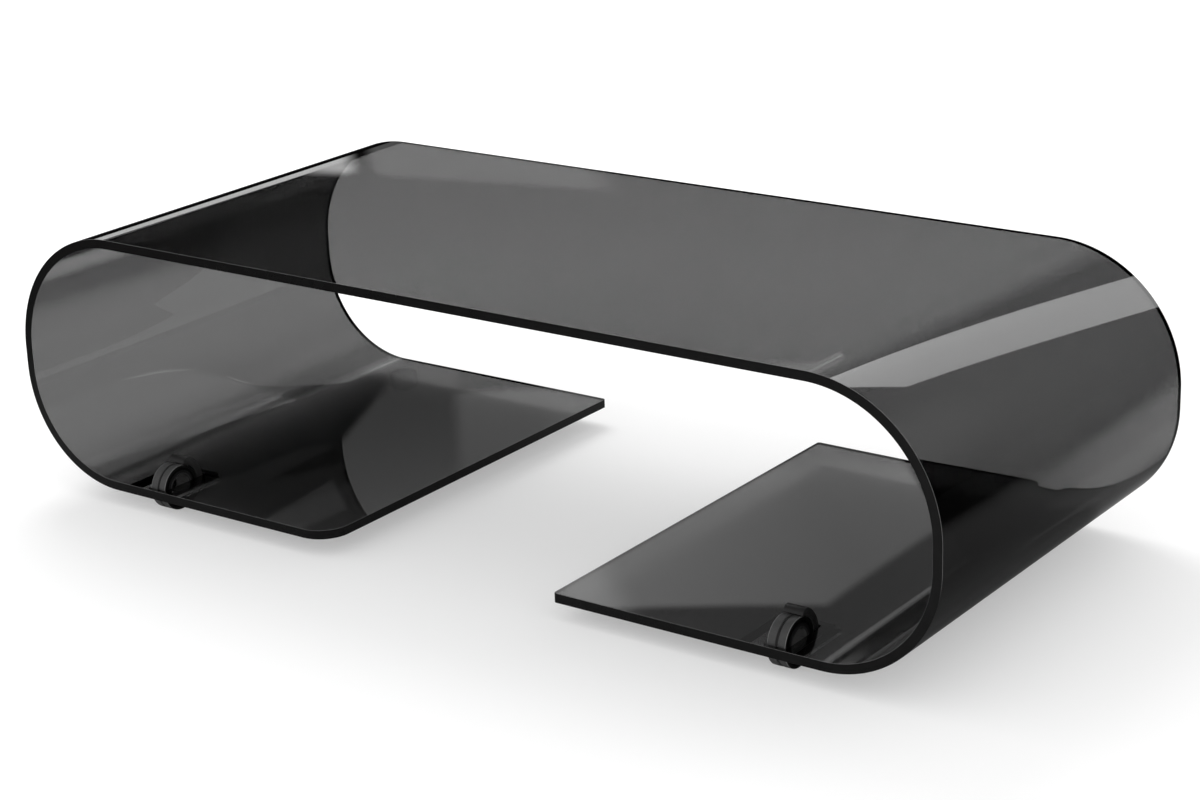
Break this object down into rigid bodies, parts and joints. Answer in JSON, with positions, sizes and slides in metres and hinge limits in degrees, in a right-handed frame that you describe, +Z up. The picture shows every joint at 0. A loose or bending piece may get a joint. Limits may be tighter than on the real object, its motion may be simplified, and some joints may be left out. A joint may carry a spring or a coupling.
{
  "type": "waterfall coffee table",
  "caption": "Low coffee table of bent smoked grey glass, with rounded ends, base plates turned back under the top with an open gap between them, and small castors at the front edge.",
  "frame": {"origin": "on the floor, under the middle of the table's outline in plan", "axes": "+X along the table towards the end without the large rounded corner, +Y from the castors at the front to the glides at the back, +Z up"},
  "size_m": [1.38, 0.6, 0.369],
  "materials": {
    "smoked_glass": "clear smoked grey glass, fire-polished faces, polished edges",
    "black_nylon": "satin moulded",
    "black_wheel_core": "smooth moulded",
    "black_tyre": "satin, softly worn",
    "black_anodised": "black anodised",
    "black_spring_steel": "blackened",
    "dark_steel": "plain zinc",
    "acetal": "turned",
    "clear_bond": "clear cured film",
    "black_sealant": "cured sealant",
    "clear_acrylic": "clear, turned and polished",
    "clear_pad": "soft clear pad"
  },
  "bodies": {
    "table": {"bent_glass": "smoked_glass", "left_castor_mount_plate": "black_anodised", "left_castor_mount_bond": "black_sealant", "left_castor_upper_shell": "black_nylon", "left_castor_lower_shell": "black_nylon", "left_castor_shell_screws": "dark_steel", "left_castor_foot_screws": "dark_steel", "left_castor_inner_retainer": "black_spring_steel", "left_castor_outer_retainer": "black_spring_steel", "left_glide_disc": "clear_acrylic", "left_glide_bond": "clear_bond", "left_glide_pad": "clear_pad", "right_castor_mount_plate": "black_anodised", "right_castor_mount_bond": "black_sealant", "right_castor_upper_shell": "black_nylon", "right_castor_lower_shell": "black_nylon", "right_castor_shell_screws": "dark_steel", "right_castor_foot_screws": "dark_steel", "right_castor_inner_retainer": "black_spring_steel", "right_castor_outer_retainer": "black_spring_steel", "right_glide_disc": "clear_acrylic", "right_glide_bond": "clear_bond", "right_glide_pad": "clear_pad"},
    "left_inner_wheel": {"left_inner_wheel_rim": "black_wheel_core", "left_inner_wheel_tyre": "black_tyre", "left_inner_wheel_bush": "acetal"},
    "left_outer_wheel": {"left_outer_wheel_rim": "black_wheel_core", "left_outer_wheel_tyre": "black_tyre", "left_outer_wheel_bush": "acetal"},
    "right_inner_wheel": {"right_inner_wheel_rim": "black_wheel_core", "right_inner_wheel_tyre": "black_tyre", "right_inner_wheel_bush": "acetal"},
    "right_outer_wheel": {"right_outer_wheel_rim": "black_wheel_core", "right_outer_wheel_tyre": "black_tyre", "right_outer_wheel_bush": "acetal"}
  },
  "joints": [
    {"name": "left_inner_wheel_spin", "type": "hinge", "parent": "table", "child": "left_inner_wheel", "pos_m": [-0.476, -0.26, 0.03], "axis": [1, 0, 0], "continuous": true},
    {"name": "left_outer_wheel_spin", "type": "hinge", "parent": "table", "child": "left_outer_wheel", "pos_m": [-0.476, -0.26, 0.03], "axis": [1, 0, 0], "continuous": true},
    {"name": "right_inner_wheel_spin", "type": "hinge", "parent": "table", "child": "right_inner_wheel", "pos_m": [0.476, -0.26, 0.03], "axis": [1, 0, 0], "continuous": true},
    {"name": "right_outer_wheel_spin", "type": "hinge", "parent": "table", "child": "right_outer_wheel", "pos_m": [0.476, -0.26, 0.03], "axis": [1, 0, 0], "continuous": true}
  ]
}
